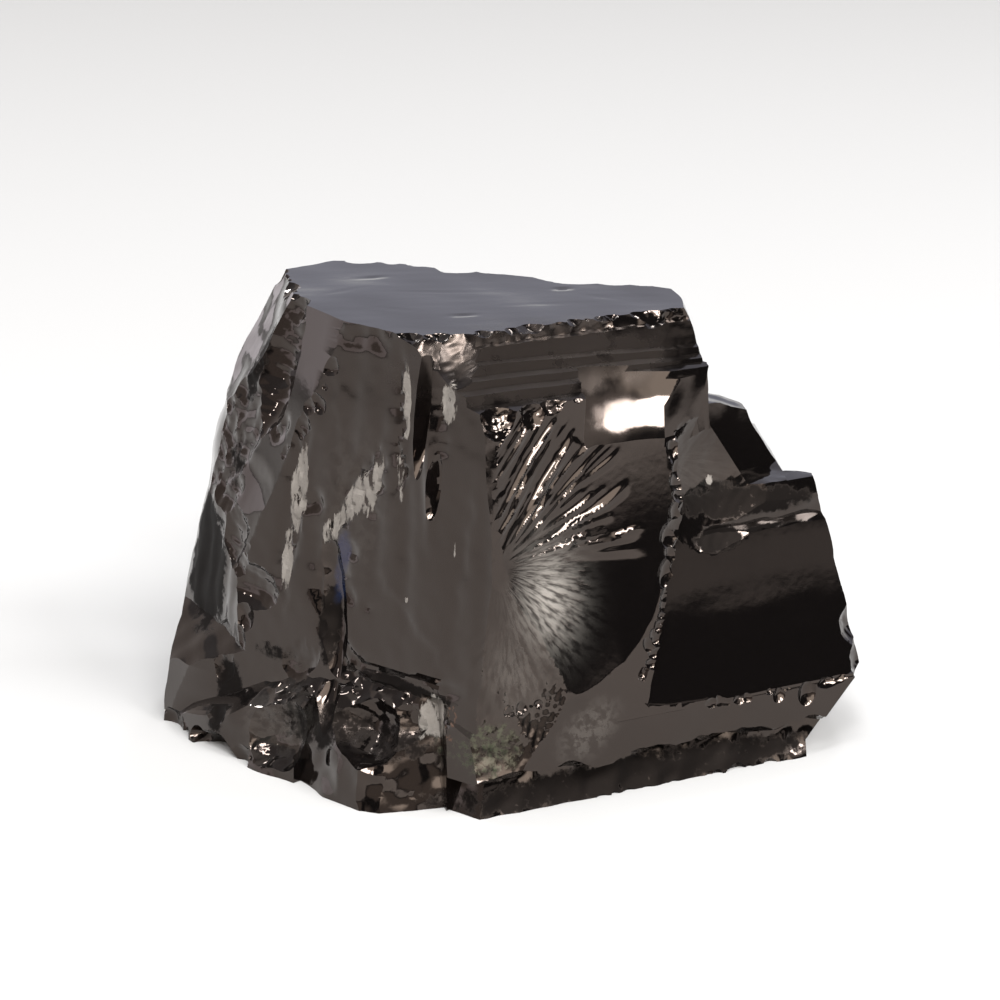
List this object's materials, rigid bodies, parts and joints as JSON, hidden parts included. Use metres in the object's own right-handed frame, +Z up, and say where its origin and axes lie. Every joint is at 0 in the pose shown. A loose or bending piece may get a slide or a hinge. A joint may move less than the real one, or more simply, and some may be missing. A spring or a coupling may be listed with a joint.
{
  "type": "shungite stone",
  "caption": "Lump of glassy black shungite with flat cleavage faces, a conchoidal scoop, a stepped ledge and chipped edges, standing on its flat base.",
  "frame": {"origin": "middle of the bounding box's footprint, on the flat base", "axes": "+Z up from the base; +X along the longest extent, towards the low ledge; -Y towards the edge between the two large front faces"},
  "size_m": [0.056, 0.036, 0.0355],
  "materials": {
    "shungite": "glassy submetallic lustre on fresh breaks, with pale dust in the recesses"
  },
  "bodies": {
    "root": {"STONE": "shungite"}
  },
  "joints": []
}
